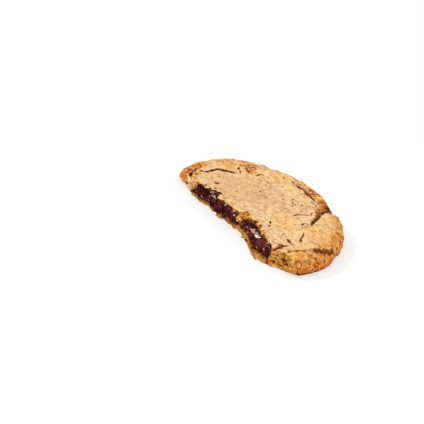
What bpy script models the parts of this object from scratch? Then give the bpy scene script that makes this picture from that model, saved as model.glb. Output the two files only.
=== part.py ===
"""Half of a round filled cookie, broken straight across and lying flat on its base.

Two solids: the baked dough, one piece that folds round the filling like a C, and the chocolate
filling, which shows along the whole break. Dimensions are in millimetres and become metres when
a mesh is made. The layout's origin is the centre of the whole round cookie, +X runs along the
break and +Y points into the half that is left. At the end everything moves so that the middle of
the footprint is at the world's origin.
"""
import math

import bmesh
import bpy
from mathutils import Vector, noise
from mathutils.geometry import delaunay_2d_cdt

MM = 0.001  # metres in a millimetre

# The round cookie
THICKNESS = 10.7            # base to the flat middle of the top
WIDEST_LEVEL = 2.0          # height at which the rim reaches furthest out
UNDERCUT = 2.6              # how far the rim rounds in below that level
SHOULDER = 9.0              # width of the rim's rounded slope, seen from above
SHOULDER_POWER = 1.8        # 2 would be an ellipse; less is a straighter slope
RADIUS_STEP = 15            # degrees between the radii below
RIM_RADII = (46.3, 47.6, 47.5, 49.5, 49.6, 48.8, 50.0, 50.5, 51.9, 52.4, 52.8, 52.0,
             49.4, 43.5, 43.0, 43.0, 43.0, 43.0, 43.0, 43.0, 43.2, 43.8, 44.4, 45.3)
PUFF = {"angle": 132, "spread": 26, "rise": 0.9, "inset": 4.0, "width": 8.0}  # swollen far rim

# Lumps of the baked surface: size across and height
RIM_LUMPS = ((5.2, 0.55), (2.6, 0.28))
RIM_LUMPS_INSET = (6.0, 11.0)   # the rim's lumps fade out between these distances from the edge
TOP_WAVES = ((16.0, 0.22), (5.0, 0.10))

# Cracks and creases in the top: points, and the width and depth at the start and at the end.
# A lift is how far the left side of a crack stands above the right one, at its start, middle and end.
CRACKS = {
    "long_left": {"points": ((-37.6, 0.4), (-35.4, 1.9), (-35.3, 5.0), (-35.1, 9.0), (-32.6, 12.2),
                             (-30.2, 15.3), (-27.9, 17.4), (-28.9, 19.6)),
                  "width": (1.0, 1.7), "depth": (2.0, 2.0), "lift": (0.2, 0.6, 0.2)},
    "left_end": {"points": ((-32.4, -10.5), (-34.7, -8.5), (-36.4, -6.5), (-39.0, -3.0),
                            (-40.5, 0.2)),
                 "width": (3.2, 1.0), "depth": (2.0, 2.0)},
    "far_left_a": {"points": ((-32.8, 21.6), (-31.4, 20.2), (-28.5, 19.5), (-27.4, 20.6)),
                   "width": (0.9, 0.8), "depth": (0.9, 0.9)},
    "far_left_b": {"points": ((-33.4, 23.0), (-31.4, 24.2), (-28.3, 24.5), (-28.6, 26.6),
                              (-28.6, 29.4)),
                   "width": (0.9, 1.1), "depth": (1.0, 1.0), "lift": (0.3, 0.3, 0.0)},
    "far_left_c": {"points": ((-36.4, 24.0), (-34.2, 26.4), (-31.8, 27.2)),
                   "width": (0.9, 0.8), "depth": (0.8, 0.8)},
    "far_left_d": {"points": ((-22.9, 25.0), (-23.8, 27.9), (-22.0, 29.0)),
                   "width": (1.0, 0.8), "depth": (0.9, 0.9)},
    "far_rim": {"points": ((-7.6, 38.8), (-3.3, 39.5), (1.6, 39.2), (5.2, 38.4), (8.4, 37.4)),
                "width": (1.8, 1.9), "depth": (1.9, 1.9), "lift": (0.3, 0.6, 0.1)},
    "far_branch": {"points": ((6.9, 36.8), (7.3, 35.2), (9.4, 35.3), (13.7, 34.8), (17.4, 33.2)),
                   "width": (1.1, 0.9), "depth": (1.0, 1.0), "lift": (0.0, 0.2, 0.0)},
    "right_split": {"points": ((16.0, 47.5), (16.6, 41.5), (17.2, 36.2), (18.9, 31.4), (21.6, 24.9),
                               (23.4, 21.2)),
                    "width": (2.6, 1.3), "depth": (3.2, 0.9), "lift": (-1.5, -0.8, 0.0)},
    "right_gap": {"points": ((13.4, 46.5), (14.8, 40.5), (16.6, 34.6), (19.6, 28.6)),
                  "width": (6.0, 1.6), "depth": (1.7, 1.7)},
    "right_hook": {"points": ((21.6, 16.4), (21.4, 18.6), (22.6, 19.6), (24.4, 20.4)),
                   "width": (1.3, 0.9), "depth": (0.7, 0.8)},
    "right_thin": {"points": ((23.8, 22.0), (25.6, 24.4), (27.0, 27.4), (29.8, 28.8), (31.6, 31.0),
                              (32.9, 34.5)),
                   "width": (0.8, 0.8), "depth": (0.7, 0.7), "lift": (0.0, -0.3, -0.5)},
    "middle_short": {"points": ((13.6, 18.6), (13.4, 20.6), (14.4, 22.5), (15.8, 25.3)),
                     "width": (1.0, 0.7), "depth": (0.6, 0.6)},
    "near_short": {"points": ((28.0, 12.0), (30.4, 9.3), (31.6, 7.0), (33.8, 4.8)),
                   "width": (0.8, 1.2), "depth": (0.7, 1.1)},
    "near_hook": {"points": ((29.2, 0.6), (32.3, -0.6), (35.0, -1.4)),
                  "width": (0.9, 1.9), "depth": (0.7, 1.6)},
    "near_fold": {"points": ((34.0, -15.0), (33.6, -10.9), (33.0, -7.7), (33.5, -4.9), (34.8, -1.9)),
                  "width": (3.0, 2.4), "depth": (2.1, 2.1)},
    "near_rim": {"points": ((37.9, -9.3), (37.9, -5.1), (38.5, -1.5), (39.5, 1.3), (39.9, 6.4),
                            (40.6, 9.7), (41.4, 13.2), (41.5, 16.1), (40.6, 19.8)),
                 "width": (1.2, 2.6), "depth": (1.6, 1.6), "lift": (0.0, 0.3, 0.0)},
}
RIM_CRACK_SHARE = 0.7       # how much of its depth a crack keeps where it runs down the rim
LIFT_EDGE = 0.3             # half the width of the step in a lifted crack
LIFT_REACH = 6.5            # how far from a crack its lifted side comes back down

# Low ridges that stand beside the creases: points, width, height as a negative depth
RIDGES = {
    "near_roll": {"points": ((37.0, -13.8), (36.0, -10.5), (35.8, -6.2), (36.0, -1.8), (35.8, 3.0)),
                  "width": (3.6, 3.0), "depth": (-0.9, -0.9)},
    "near_lip": {"points": ((42.2, 2.0), (42.6, 7.0), (42.9, 12.0), (42.4, 17.0)),
                 "width": (1.6, 1.6), "depth": (-0.4, -0.4)},
    "far_lip": {"points": ((-14.0, 43.0), (-4.0, 44.2), (5.0, 43.6), (10.4, 41.6)),
                "width": (6.0, 7.0), "depth": (-0.6, -1.2)},
    "left_crag": {"points": ((-44.0, -5.0), (-42.0, -1.0), (-40.5, 4.0)),
                  "width": (4.0, 4.0), "depth": (-0.8, -0.8)},
}

# The break: how far it stands out in Y along X, at four heights from the base up
BREAK_LEVELS = (
    (0.3, ((-60, 3.0), (-49, 0.8), (-45.6, -0.4), (-42, -1.6), (-37.5, -3.7), (-31, -5.6),
           (-25, -5.4), (-12, -5.8), (4.7, -5.4), (8.8, -8.0), (13.1, -9.4), (17, -10.8),
           (21, -13.0), (24, -13.8), (26.6, -13.2), (32.2, -10.9), (35.6, -9.3), (39.1, -7.2),
           (43.2, -4.2), (60, 0.0))),
    (3.4, ((-60, -1.0), (-50, -2.6), (-46.5, -5.0), (-40, -6.1), (-35, -6.2), (-31, -7.0),
           (-24, -6.6), (-12, -5.9), (-3, -5.3), (3, -5.7), (10.6, -7.8), (17, -10.0), (22, -11.9),
           (26.6, -11.6), (31, -10.4), (36, -9.0), (40, -8.0), (43.5, -6.2), (60, -1.0))),
    (8.2, ((-60, -2.0), (-48, -4.2), (-44.5, -6.4), (-40, -7.0), (-35, -7.2), (-31, -8.3),
           (-27, -8.8), (-24, -7.0), (-20, -5.2), (-16, -5.2), (-13, -7.2), (-8, -6.9), (-3, -7.5),
           (1, -8.2), (4.5, -7.6), (9, -6.8), (13, -6.2), (16, -6.2), (20, -7.8), (24, -9.4),
           (29, -11.4), (33.5, -12.4), (36.5, -10.6), (40, -8.7), (43, -7.0), (60, -2.0))),
    (10.9, ((-60, -2.0), (-45, -5.4), (-40.5, -6.4), (-37, -6.9), (-34, -7.6), (-31, -8.0),
            (-28.5, -9.0), (-26.5, -7.4), (-23.4, -9.2), (-22.5, -6.4), (-20.5, -7.4),
            (-19.8, -3.6), (-18.6, -5.4), (-16.6, -4.4), (-13.7, -7.8), (-10.8, -7.6),
            (-7.6, -7.0), (-3.2, -8.2), (0.9, -8.8), (2.0, -3.4), (3.2, -1.6), (5.7, -2.2),
            (9.1, -3.2), (15, -5.0), (18.9, -7.1), (23.6, -9.5), (29.1, -11.8), (32, -13.1),
            (34.4, -13.0), (36.4, -10.8), (38.8, -9.2), (42, -7.4), (60, -2.0))),
)
BREAK_CRUMB = ((3.4, 0.65), (1.7, 0.35))    # size and height of the torn crumb's lumps

# The filling and the pocket that holds it
FILLING_RADIUS = 32.2
FILLING_LEVELS = (3.3, 9.0)
FILLING_GAP = 0.3           # space kept between the filling and the dough
FILLING_FACE = ((-60, -6.0), (-33, -7.6), (-30, -8.6), (-26, -9.2), (-21, -8.2), (-17, -6.8),
                (-12, -6.2), (-3, -5.8), (3, -6.4), (10.6, -7.2), (15, -8.2), (19.3, -9.6),
                (26.6, -10.6), (31, -10.4), (60, -8.0))
FILLING_SWELL = 1.2         # how far its middle bulges out of the break
FILLING_LOBES = ((6.5, 2.2, 0.8), (3.0, 1.3, 0.4))      # length, height and depth of its ropes

# Mesh spacing
TOP_SPACING = 1.75
CRACK_SPACING = 1.4
CRACK_STATIONS = (0.0, 1.0, -1.0, 0.5, -0.5)    # points across a crack, in half widths
CRACK_CLEARANCE = 0.42      # least space between points along cracks
LATTICE_CLEARANCE = 1.1     # least space between the plain top's points and others
RIM_COLUMNS = 176
RIM_ROWS_BELOW = 3          # steps of the rounding between the base and the widest level
RIM_INSETS = (0.25, 0.8, 1.7, 2.9)      # rows of the rim's upper slope
BREAK_SPACING = (1.15, 1.15)
BREAK_HEIGHTS = (-3.0, 15.0)
FILLING_SPACING = (1.0, 0.65)
FILLING_HEIGHTS = (1.0, 11.0)
SLAB_SIDES = 72
SLAB_EDGE_STEPS = 6
REACH = 60.0                # how far the cutting blocks reach past the cookie

# Colours, linear RGB
DOUGH_COLOR = (0.72, 0.42, 0.19, 1.0)
DOUGH_ROUGHNESS = 0.85
FILLING_COLOR = (0.060, 0.017, 0.011, 1.0)
FILLING_ROUGHNESS = 0.22


def clear_scene():
    for old in list(bpy.data.objects):
        bpy.data.objects.remove(old, do_unlink=True)


def make_material(name, color, roughness):
    material = bpy.data.materials.new(name)
    material.use_nodes = True
    shader = material.node_tree.nodes["Principled BSDF"]
    shader.inputs["Base Color"].default_value = color
    shader.inputs["Roughness"].default_value = roughness
    shader.inputs["Metallic"].default_value = 0.0
    return material


def make_object(name, points, faces, material=None):
    """A mesh object from points in millimetres, its faces turned to point out."""
    mesh = bpy.data.meshes.new(name)
    mesh.from_pydata([Vector(p) * MM for p in points], [], faces)
    shape = bmesh.new()
    shape.from_mesh(mesh)
    bmesh.ops.recalc_face_normals(shape, faces=shape.faces)
    shape.to_mesh(mesh)
    shape.free()
    obj = bpy.data.objects.new(name, mesh)
    bpy.context.collection.objects.link(obj)
    if material:
        mesh.materials.append(material)
    return obj


def make_cutter(name, points, faces):
    cutter = make_object(name, points, faces)
    cutter.hide_render = True
    cutter.display_type = "WIRE"
    return cutter


def cut(obj, cutter):
    boolean = obj.modifiers.new("cut_" + cutter.name, "BOOLEAN")
    boolean.operation = "DIFFERENCE"
    boolean.solver = "EXACT"
    boolean.object = cutter


def along(line, x):
    """The second value of a polyline of pairs at x, between its points in straight runs."""
    for (x0, y0), (x1, y1) in zip(line, line[1:]):
        if x <= x1:
            return y0 + (y1 - y0) * (x - x0) / (x1 - x0)
    return line[-1][1]


def rim_radius(angle):
    """The outline's radius at an angle in degrees, on a smooth curve through RIM_RADII."""
    place = (angle % 360) / RADIUS_STEP
    index = int(place)
    t = place - index
    before, here, there, after = (RIM_RADII[(index + k) % len(RIM_RADII)] for k in (-1, 0, 1, 2))
    return here + 0.5 * t * (there - before + t * (2 * before - 5 * here + 4 * there - after
                                                   + t * (3 * (here - there) + after - before)))


def lumps(x, y, z, layers):
    """Uneven height from several sizes of smooth noise."""
    return sum(height * noise.noise(Vector((x, y, z)) / size) for size, height in layers)


def nearest_on(points, x, y):
    """How far (x, y) lies from a polyline, more than 0 on its left side, and the share along it."""
    best, share = 1e9, 0.0
    for index, (start, end) in enumerate(zip(points, points[1:])):
        run = Vector(end) - Vector(start)
        offset = Vector((x, y)) - Vector(start)
        t = max(0.0, min(1.0, offset.dot(run) / run.length_squared))
        gap = (offset - run * t).length
        if gap < abs(best):
            best = math.copysign(gap, run.x * offset.y - run.y * offset.x)
            share = (index + t) / (len(points) - 1)
    return best, share


def between(pair, share):
    """The value at a share of the way from the pair's first value to its second."""
    start, end = pair
    return start + (end - start) * share


def smooth_step(value):
    value = max(0.0, min(1.0, value))
    return value * value * (3 - 2 * value)


def groove_depth(x, y):
    """How deep the cracks cut at (x, y); ridges count as negative depth."""
    depth = rise = 0.0
    for groove in list(CRACKS.values()) + list(RIDGES.values()):
        gap, share = nearest_on(groove["points"], x, y)
        half = between(groove["width"], share) / 2
        if abs(gap) >= half:
            continue
        amount = between(groove["depth"], share) * (1 - (gap / half) ** 2)
        depth = max(depth, amount)
        rise = min(rise, amount)
    return depth + rise


def crack_lift(x, y):
    """How far the lifted sides of the cracks stand up at (x, y)."""
    rise = 0.0
    for crack in CRACKS.values():
        if "lift" in crack:
            gap, share = nearest_on(crack["points"], x, y)
            first, middle, last = crack["lift"]
            lift = along(((0.0, first), (0.5, middle), (1.0, last)), share)
            rise += (lift * smooth_step(1 - abs(gap) / LIFT_REACH)
                     * smooth_step((gap / LIFT_EDGE + 1) / 2))
    return rise


def rim_puff(angle, inset):
    turn = (angle - PUFF["angle"] + 180) % 360 - 180
    return (PUFF["rise"] * math.exp(-(turn / PUFF["spread"]) ** 2)
            * math.exp(-((inset - PUFF["inset"]) / PUFF["width"]) ** 2))


def shoulder_height(inset):
    """Height of the upper rim at a distance in from the outline."""
    share = 1 - min(inset, SHOULDER) / SHOULDER
    rise = (1 - share ** SHOULDER_POWER) ** (1 / SHOULDER_POWER)
    return WIDEST_LEVEL + (THICKNESS - WIDEST_LEVEL) * rise


def rim_profile():
    """Rows of the rim from the base to its upper shoulder: inset, height, angle it faces."""
    rows = []
    for step in range(RIM_ROWS_BELOW + 1):
        turn = step / RIM_ROWS_BELOW * math.pi / 2
        rows.append((UNDERCUT * (1 - math.sin(turn)), WIDEST_LEVEL * (1 - math.cos(turn)),
                     turn - math.pi / 2))
    reach = RIM_INSETS[0] / 2
    for inset in RIM_INSETS:
        run = (shoulder_height(inset + reach) - shoulder_height(inset - reach)) / (2 * reach)
        rows.append((inset, shoulder_height(inset), math.pi / 2 - math.atan(run)))
    return rows


def inset_at(x, y):
    """Distance in from the outline at (x, y)."""
    return rim_radius(math.degrees(math.atan2(y, x))) - math.hypot(x, y)


def top_height(x, y):
    """Height of the baked top at (x, y), inside the rim's rows."""
    inset = inset_at(x, y)
    start, end = RIM_LUMPS_INSET
    near_rim = min(1.0, max(0.0, (end - inset) / (end - start)))
    return (shoulder_height(inset) + rim_puff(math.degrees(math.atan2(y, x)), inset)
            + lumps(x, y, 0.0, TOP_WAVES) + near_rim * lumps(x, y, THICKNESS, RIM_LUMPS)
            + crack_lift(x, y) - groove_depth(x, y))


def crack_points(crack):
    """Points along a crack's floor, its sides and its two edges."""
    points = [Vector(p) for p in crack["points"]]
    length = sum((b - a).length for a, b in zip(points, points[1:]))
    count = max(3, round(length / CRACK_SPACING))
    found = []
    for step in range(count + 1):
        place = step / count * (len(points) - 1)
        index = min(int(place), len(points) - 2)
        start, end = points[index], points[index + 1]
        centre = start.lerp(end, place - index)
        side = (end - start).orthogonal().normalized() * between(crack["width"], step / count) / 2
        found += [centre + side * across for across in CRACK_STATIONS]
    return found


def lattice_points():
    """A triangular lattice over the whole cookie."""
    row_height = TOP_SPACING * math.sqrt(3) / 2
    rows = int(REACH / row_height)
    columns = int(REACH / TOP_SPACING)
    return [Vector(((column + 0.5 * (row % 2)) * TOP_SPACING, row * row_height))
            for row in range(-rows, rows) for column in range(-columns, columns)]


def top_points(first_inset):
    """Points of the top inside the rim rows, the cracks' own first."""
    along_cracks = [point for crack in CRACKS.values() for point in crack_points(crack)]
    kept = []
    for group, clearance in ((along_cracks, CRACK_CLEARANCE), (lattice_points(), LATTICE_CLEARANCE)):
        for point in group:
            if inset_at(point.x, point.y) < first_inset + 0.5 * LATTICE_CLEARANCE:
                continue
            if all((point - other).length > clearance for other in kept):
                kept.append(point)
    return kept


def rim_point(inset, height, facing, turn):
    """One point of the rim, moved out or in by its lumps and cracks."""
    radius = rim_radius(math.degrees(turn)) - inset
    x, y = radius * math.cos(turn), radius * math.sin(turn)
    rise = (rim_puff(math.degrees(turn), inset) + crack_lift(x, y)) * (height / THICKNESS) ** 2
    out = 0.0
    if height > 0:
        out = (lumps(x, y, THICKNESS + height, RIM_LUMPS)
               - RIM_CRACK_SHARE * groove_depth(x, y))
    radius += out * math.cos(facing)
    return (radius * math.cos(turn), radius * math.sin(turn),
            max(0.0, height + rise + out * math.sin(facing)))


def ring_faces(rings, count):
    """Quads that join rings of points, each ring to the next."""
    return [(row * count + k, row * count + (k + 1) % count,
             (row + 1) * count + (k + 1) % count, (row + 1) * count + k)
            for row in range(rings - 1) for k in range(count)]


def make_dough_blank(material):
    """The whole round cookie: rim rows, a triangulated top and a flat base."""
    rows = rim_profile()
    points = [rim_point(*row, 2 * math.pi * column / RIM_COLUMNS)
              for row in rows for column in range(RIM_COLUMNS)]
    faces = ring_faces(len(rows), RIM_COLUMNS)
    faces.append(tuple(reversed(range(RIM_COLUMNS))))
    first = (len(rows) - 1) * RIM_COLUMNS
    outline = [Vector(p[:2]) for p in points[first:]]
    ring = [(k, (k + 1) % RIM_COLUMNS) for k in range(RIM_COLUMNS)]
    inside = top_points(rows[-1][0])
    flat, _, triangles, _, _, _ = delaunay_2d_cdt(outline + inside, ring, [], 1, 1e-5)
    points += [(p.x, p.y, top_height(p.x, p.y)) for p in flat[RIM_COLUMNS:]]
    faces += [tuple(first + index for index in triangle) for triangle in triangles]
    return make_object("dough", points, faces, material)


def make_block(name, face, levels, spacing):
    """A block behind a torn face y = face(x, z), to cut away what lies on its -Y side."""
    columns = round(2 * REACH / spacing[0])
    low, high = levels
    rows = round((high - low) / spacing[1])
    points, faces = [], []
    for row in range(rows + 1):
        z = low + (high - low) * row / rows
        for column in range(columns + 1):
            x = -REACH + 2 * REACH * column / columns
            points.append((x, face(x, z), z))
    wide = columns + 1
    for row in range(rows):
        for column in range(columns):
            corner = row * wide + column
            faces.append((corner, corner + 1, corner + wide + 1, corner + wide))
    back = len(points)
    points += [(-REACH, -REACH, low), (REACH, -REACH, low), (REACH, -REACH, high),
               (-REACH, -REACH, high)]
    left_edge = tuple(row * wide for row in range(rows + 1))
    right_edge = tuple(row * wide + columns for row in reversed(range(rows + 1)))
    faces.append((back, back + 1) + tuple(reversed(range(wide))))
    faces.append((back + 2, back + 3) + tuple(range(rows * wide, (rows + 1) * wide)))
    faces.append((back + 3, back) + left_edge)
    faces.append((back + 1, back + 2) + right_edge)
    faces.append((back, back + 3, back + 2, back + 1))
    return make_cutter(name, points, faces)


def break_face(x, z):
    """The torn face of the dough: the four levels' lines, blended by height, with crumb."""
    profile = [(level, along(line, x)) for level, line in BREAK_LEVELS]
    y = along(profile, min(max(z, profile[0][0]), profile[-1][0]))
    return y + lumps(x, y, z, BREAK_CRUMB)


def filling_face(x, z):
    """The filling's front: it bulges out of the break in uneven sideways ropes."""
    low, high = FILLING_LEVELS
    swell = FILLING_SWELL * math.sin(math.pi * min(max((z - low) / (high - low), 0), 1))
    ropes = sum(depth * noise.noise(Vector((x / length, 0.5, z / height)))
                for length, height, depth in FILLING_LOBES)
    return along(FILLING_FACE, x) - swell + ropes


def slab(grow):
    """Points and faces of the filling's round slab with a half-round edge, grown all over."""
    low, high = FILLING_LEVELS[0] - grow, FILLING_LEVELS[1] + grow
    middle, half = (low + high) / 2, (high - low) / 2
    points = []
    for step in range(SLAB_EDGE_STEPS + 1):
        turn = math.pi * (step / SLAB_EDGE_STEPS - 0.5)
        radius = FILLING_RADIUS + grow - half * (1 - math.cos(turn))
        for side in range(SLAB_SIDES):
            around = 2 * math.pi * side / SLAB_SIDES
            points.append((radius * math.cos(around), radius * math.sin(around),
                           middle + half * math.sin(turn)))
    faces = ring_faces(SLAB_EDGE_STEPS + 1, SLAB_SIDES)
    faces.append(tuple(reversed(range(SLAB_SIDES))))
    faces.append(tuple(range(SLAB_EDGE_STEPS * SLAB_SIDES, len(points))))
    return points, faces


def centre_on_origin(pieces, cutters):
    """Move everything so that the footprint's middle, at base height, is at the origin."""
    bpy.context.view_layer.update()
    graph = bpy.context.evaluated_depsgraph_get()
    corners = [piece.matrix_world @ Vector(corner) for piece in pieces
               for corner in piece.evaluated_get(graph).bound_box]
    low = Vector(min(c[axis] for c in corners) for axis in range(3))
    high = Vector(max(c[axis] for c in corners) for axis in range(3))
    shift = Vector((-(low.x + high.x) / 2, -(low.y + high.y) / 2, -low.z))
    for obj in pieces + cutters:
        obj.location += shift
    print("size", [round(v / MM, 2) for v in high - low])
    print("moved", [round(v / MM, 3) for v in shift])


def main():
    clear_scene()
    dough_material = make_material("baked_dough", DOUGH_COLOR, DOUGH_ROUGHNESS)
    filling_material = make_material("chocolate_filling", FILLING_COLOR, FILLING_ROUGHNESS)

    dough = make_dough_blank(dough_material)
    pocket = make_cutter("pocket", *slab(FILLING_GAP))
    missing_half = make_block("missing_half", break_face, BREAK_HEIGHTS, BREAK_SPACING)
    cut(dough, pocket)
    cut(dough, missing_half)

    filling = make_object("filling", *slab(0.0), filling_material)
    missing_filling = make_block("missing_filling", filling_face, FILLING_HEIGHTS, FILLING_SPACING)
    cut(filling, missing_filling)

    centre_on_origin([dough, filling], [pocket, missing_half, missing_filling])


main()
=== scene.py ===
import math
from types import SimpleNamespace

import bpy
import numpy as np
from mathutils import Matrix, Vector


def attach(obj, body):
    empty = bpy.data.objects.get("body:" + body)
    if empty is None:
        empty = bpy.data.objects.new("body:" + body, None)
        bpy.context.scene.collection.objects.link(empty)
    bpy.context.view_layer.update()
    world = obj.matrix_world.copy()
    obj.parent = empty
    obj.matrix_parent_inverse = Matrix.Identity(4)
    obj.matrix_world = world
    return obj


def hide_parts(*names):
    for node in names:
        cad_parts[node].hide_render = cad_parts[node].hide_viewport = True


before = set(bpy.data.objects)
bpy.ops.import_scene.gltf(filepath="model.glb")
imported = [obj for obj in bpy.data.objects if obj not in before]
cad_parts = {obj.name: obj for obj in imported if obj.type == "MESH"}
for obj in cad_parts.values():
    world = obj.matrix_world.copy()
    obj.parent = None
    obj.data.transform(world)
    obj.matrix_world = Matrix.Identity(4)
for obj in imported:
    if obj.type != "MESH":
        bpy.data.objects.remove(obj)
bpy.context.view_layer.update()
mm = 0.001  # the cookie is laid out in mm from the whole round's centre, its break along x

# the camera, at the photograph's viewing angle
view = {
    "azimuth": 43.2, "elevation": 30.1, "roll": 13.7,   # degrees
    "distance": 1.0,            # metres from the middle of the break
    "breakMiddle": (0.0, -3.0),     # mm from the cookie's centre
    "pixelsPerMm": 2.074,       # at the middle of the break
    "breakPixel": (238.8, 228.1),   # where the middle of the break lies in the picture
    "picture": 424, "sensor": 36.0,     # widths of the picture in pixels and of the sensor in mm
}
layout = {"centre": (1.982, -18.148)}   # the whole cookie's centre in the frame, mm


def framePoint(x, y, z):
    return Vector((x + layout["centre"][0], y + layout["centre"][1], z)) * mm


def makeCamera():
    azimuth, elevation = math.radians(view["azimuth"]), math.radians(view["elevation"])
    back = Vector((math.sin(azimuth) * math.cos(elevation),
                   -math.cos(azimuth) * math.cos(elevation), math.sin(elevation)))
    side = Vector((math.cos(azimuth), math.sin(azimuth), 0.0))
    up = back.cross(side)
    roll = math.radians(view["roll"])
    side, up = side * math.cos(roll) + up * math.sin(roll), up * math.cos(roll) - side * math.sin(roll)
    middle = framePoint(*view["breakMiddle"], 0.0)
    place = middle + back * view["distance"]
    half = view["picture"] / 2
    shiftX = (view["breakPixel"][0] - half) / view["pixelsPerMm"] * mm
    shiftY = (view["breakPixel"][1] - half) / view["pixelsPerMm"] * mm
    aim = middle - side * shiftX + up * shiftY
    axisZ = (place - aim).normalized()
    axisX = (side - axisZ * side.dot(axisZ)).normalized()
    axisY = axisZ.cross(axisX)
    data = bpy.data.cameras.new("camera")
    data.sensor_width = view["sensor"]
    data.lens = view["sensor"] * view["distance"] / (view["picture"] / view["pixelsPerMm"] * mm)
    camera = bpy.data.objects.new("camera", data)
    bpy.context.scene.collection.objects.link(camera)
    camera.matrix_world = Matrix.Translation(place) @ Matrix((axisX, axisY, axisZ)).transposed().to_4x4()
    bpy.context.scene.camera = camera


makeCamera()
print("camera made")

# random relief: every noise is drawn from a seed, so that each run gives the same cookie
seeds = {
    "ragged": 11, "waver": 12, "waves": 20, "rimLumps": 30, "jags": 35, "tearLumps": 40, "warp": 50,
    "wrinkles": 60, "wrinkled": 61, "opened": 62, "crustGrains": 63, "ropes": 70, "coverEdge": 75,
    "pores": 3, "plates": 5, "scales": 6, "crumbGrains": 50, "crumbHoles": 60,    # of scattered points
}
hashing = {     # what mixes a cell's place and seed into numbers without a pattern
    "primes": (73856093, 19349663, 83492791), "seedPrime": 97, "mixers": (2246822519, 3266489917),
    "numberMix": (7.31, 3.17),
}
farAway = 1e9       # mm, more than any distance on the cookie


def smooth(low, high, value):   # 0 at low, 1 at high, smooth between them
    share = np.clip((value - low) / (high - low), 0.0, 1.0)
    return share * share * (3 - 2 * share)


def splineWeights(axis, size):     # weights that spread coarse random values smoothly along an axis
    place = (axis - axis[0]) / size
    index = place.astype(int)
    t = place - index
    weights = np.zeros((len(axis), index.max() + 4), np.float32)
    parts = ((1 - t) ** 3 / 6, (3 * t ** 3 - 6 * t ** 2 + 4) / 6,
             (-3 * t ** 3 + 3 * t ** 2 + 3 * t + 1) / 6, t ** 3 / 6)
    for step, part in enumerate(parts):
        weights[np.arange(len(axis)), index + step] = part
    return weights


def softNoise(axes, size, seed):    # smooth noise of unit spread on a grid, with lumps of this size in mm
    sizes = size if isinstance(size, tuple) else (size,) * len(axes)
    weights = [splineWeights(axis, s) for axis, s in zip(axes, sizes)]
    field = np.random.default_rng(seed).standard_normal([w.shape[1] for w in weights]).astype(np.float32)
    for w in weights:
        field = np.moveaxis(np.tensordot(w, field, axes=(1, 0)), 0, -1)
    return field / field.std()


def hashed(cell, seed):     # three numbers from 0 to 1 for each cell
    (first, second, third), (mixer, lastMixer) = hashing["primes"], hashing["mixers"]
    mix = (cell[..., 0] * first) ^ (cell[..., 1] * second) ^ (cell[..., 2] * third)
    mix = mix ^ (seed * hashing["seedPrime"])
    found = []
    for turn in range(3):
        mix = ((mix ^ (mix >> 15)) * mixer + turn) & 0xffffffff
        mix = ((mix ^ (mix >> 13)) * lastMixer) & 0xffffffff
        found.append(((mix >> 8) & 0xffff) / 0xffff)
    return np.stack(found, -1)


def cells(points, size, seed):  # distances to the two nearest scattered points, and the nearest's number
    home = np.floor(points / size).astype(np.int64)
    nearest = np.full(len(points), farAway)
    second = np.full(len(points), farAway)
    number = np.zeros(len(points))
    firstShare, thirdShare = hashing["numberMix"]
    for offset in np.ndindex(3, 3, 3):
        cell = home + np.array(offset) - 1
        jitter = hashed(cell, seed)
        gap = np.linalg.norm((cell + jitter) * size - points, axis=1)
        closer = gap < nearest
        second = np.where(closer, nearest, np.minimum(second, gap))
        number = np.where(closer, (jitter[:, 0] * firstShare + jitter[:, 2] * thirdShare) % 1.0, number)
        nearest = np.minimum(nearest, gap)
    return nearest, second, number


def lineDistance(points, x, y):     # distance to a line of points, the share of its length, and the side
    best, share, side = np.full(x.shape, farAway), np.zeros(x.shape), np.zeros(x.shape)
    for index, ((x0, y0), (x1, y1)) in enumerate(zip(points, points[1:])):
        dx, dy = x1 - x0, y1 - y0
        t = np.clip(((x - x0) * dx + (y - y0) * dy) / (dx * dx + dy * dy), 0, 1)
        gap = np.hypot(x - x0 - t * dx, y - y0 - t * dy)
        closer = gap < best
        best = np.where(closer, gap, best)
        share = np.where(closer, (index + t) / (len(points) - 1), share)
        side = np.where(closer, np.sign(dx * (y - y0) - dy * (x - x0)), side)
    return best, share, side


def nearPlaces(places, core, x, y):     # 1 in the core of a place, 0 at its radius and beyond
    share = np.zeros(x.shape)
    for px, py, radius in places:
        share = np.maximum(share, smooth(radius, core * radius, np.hypot(x - px, y - py)))
    return share


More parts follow.
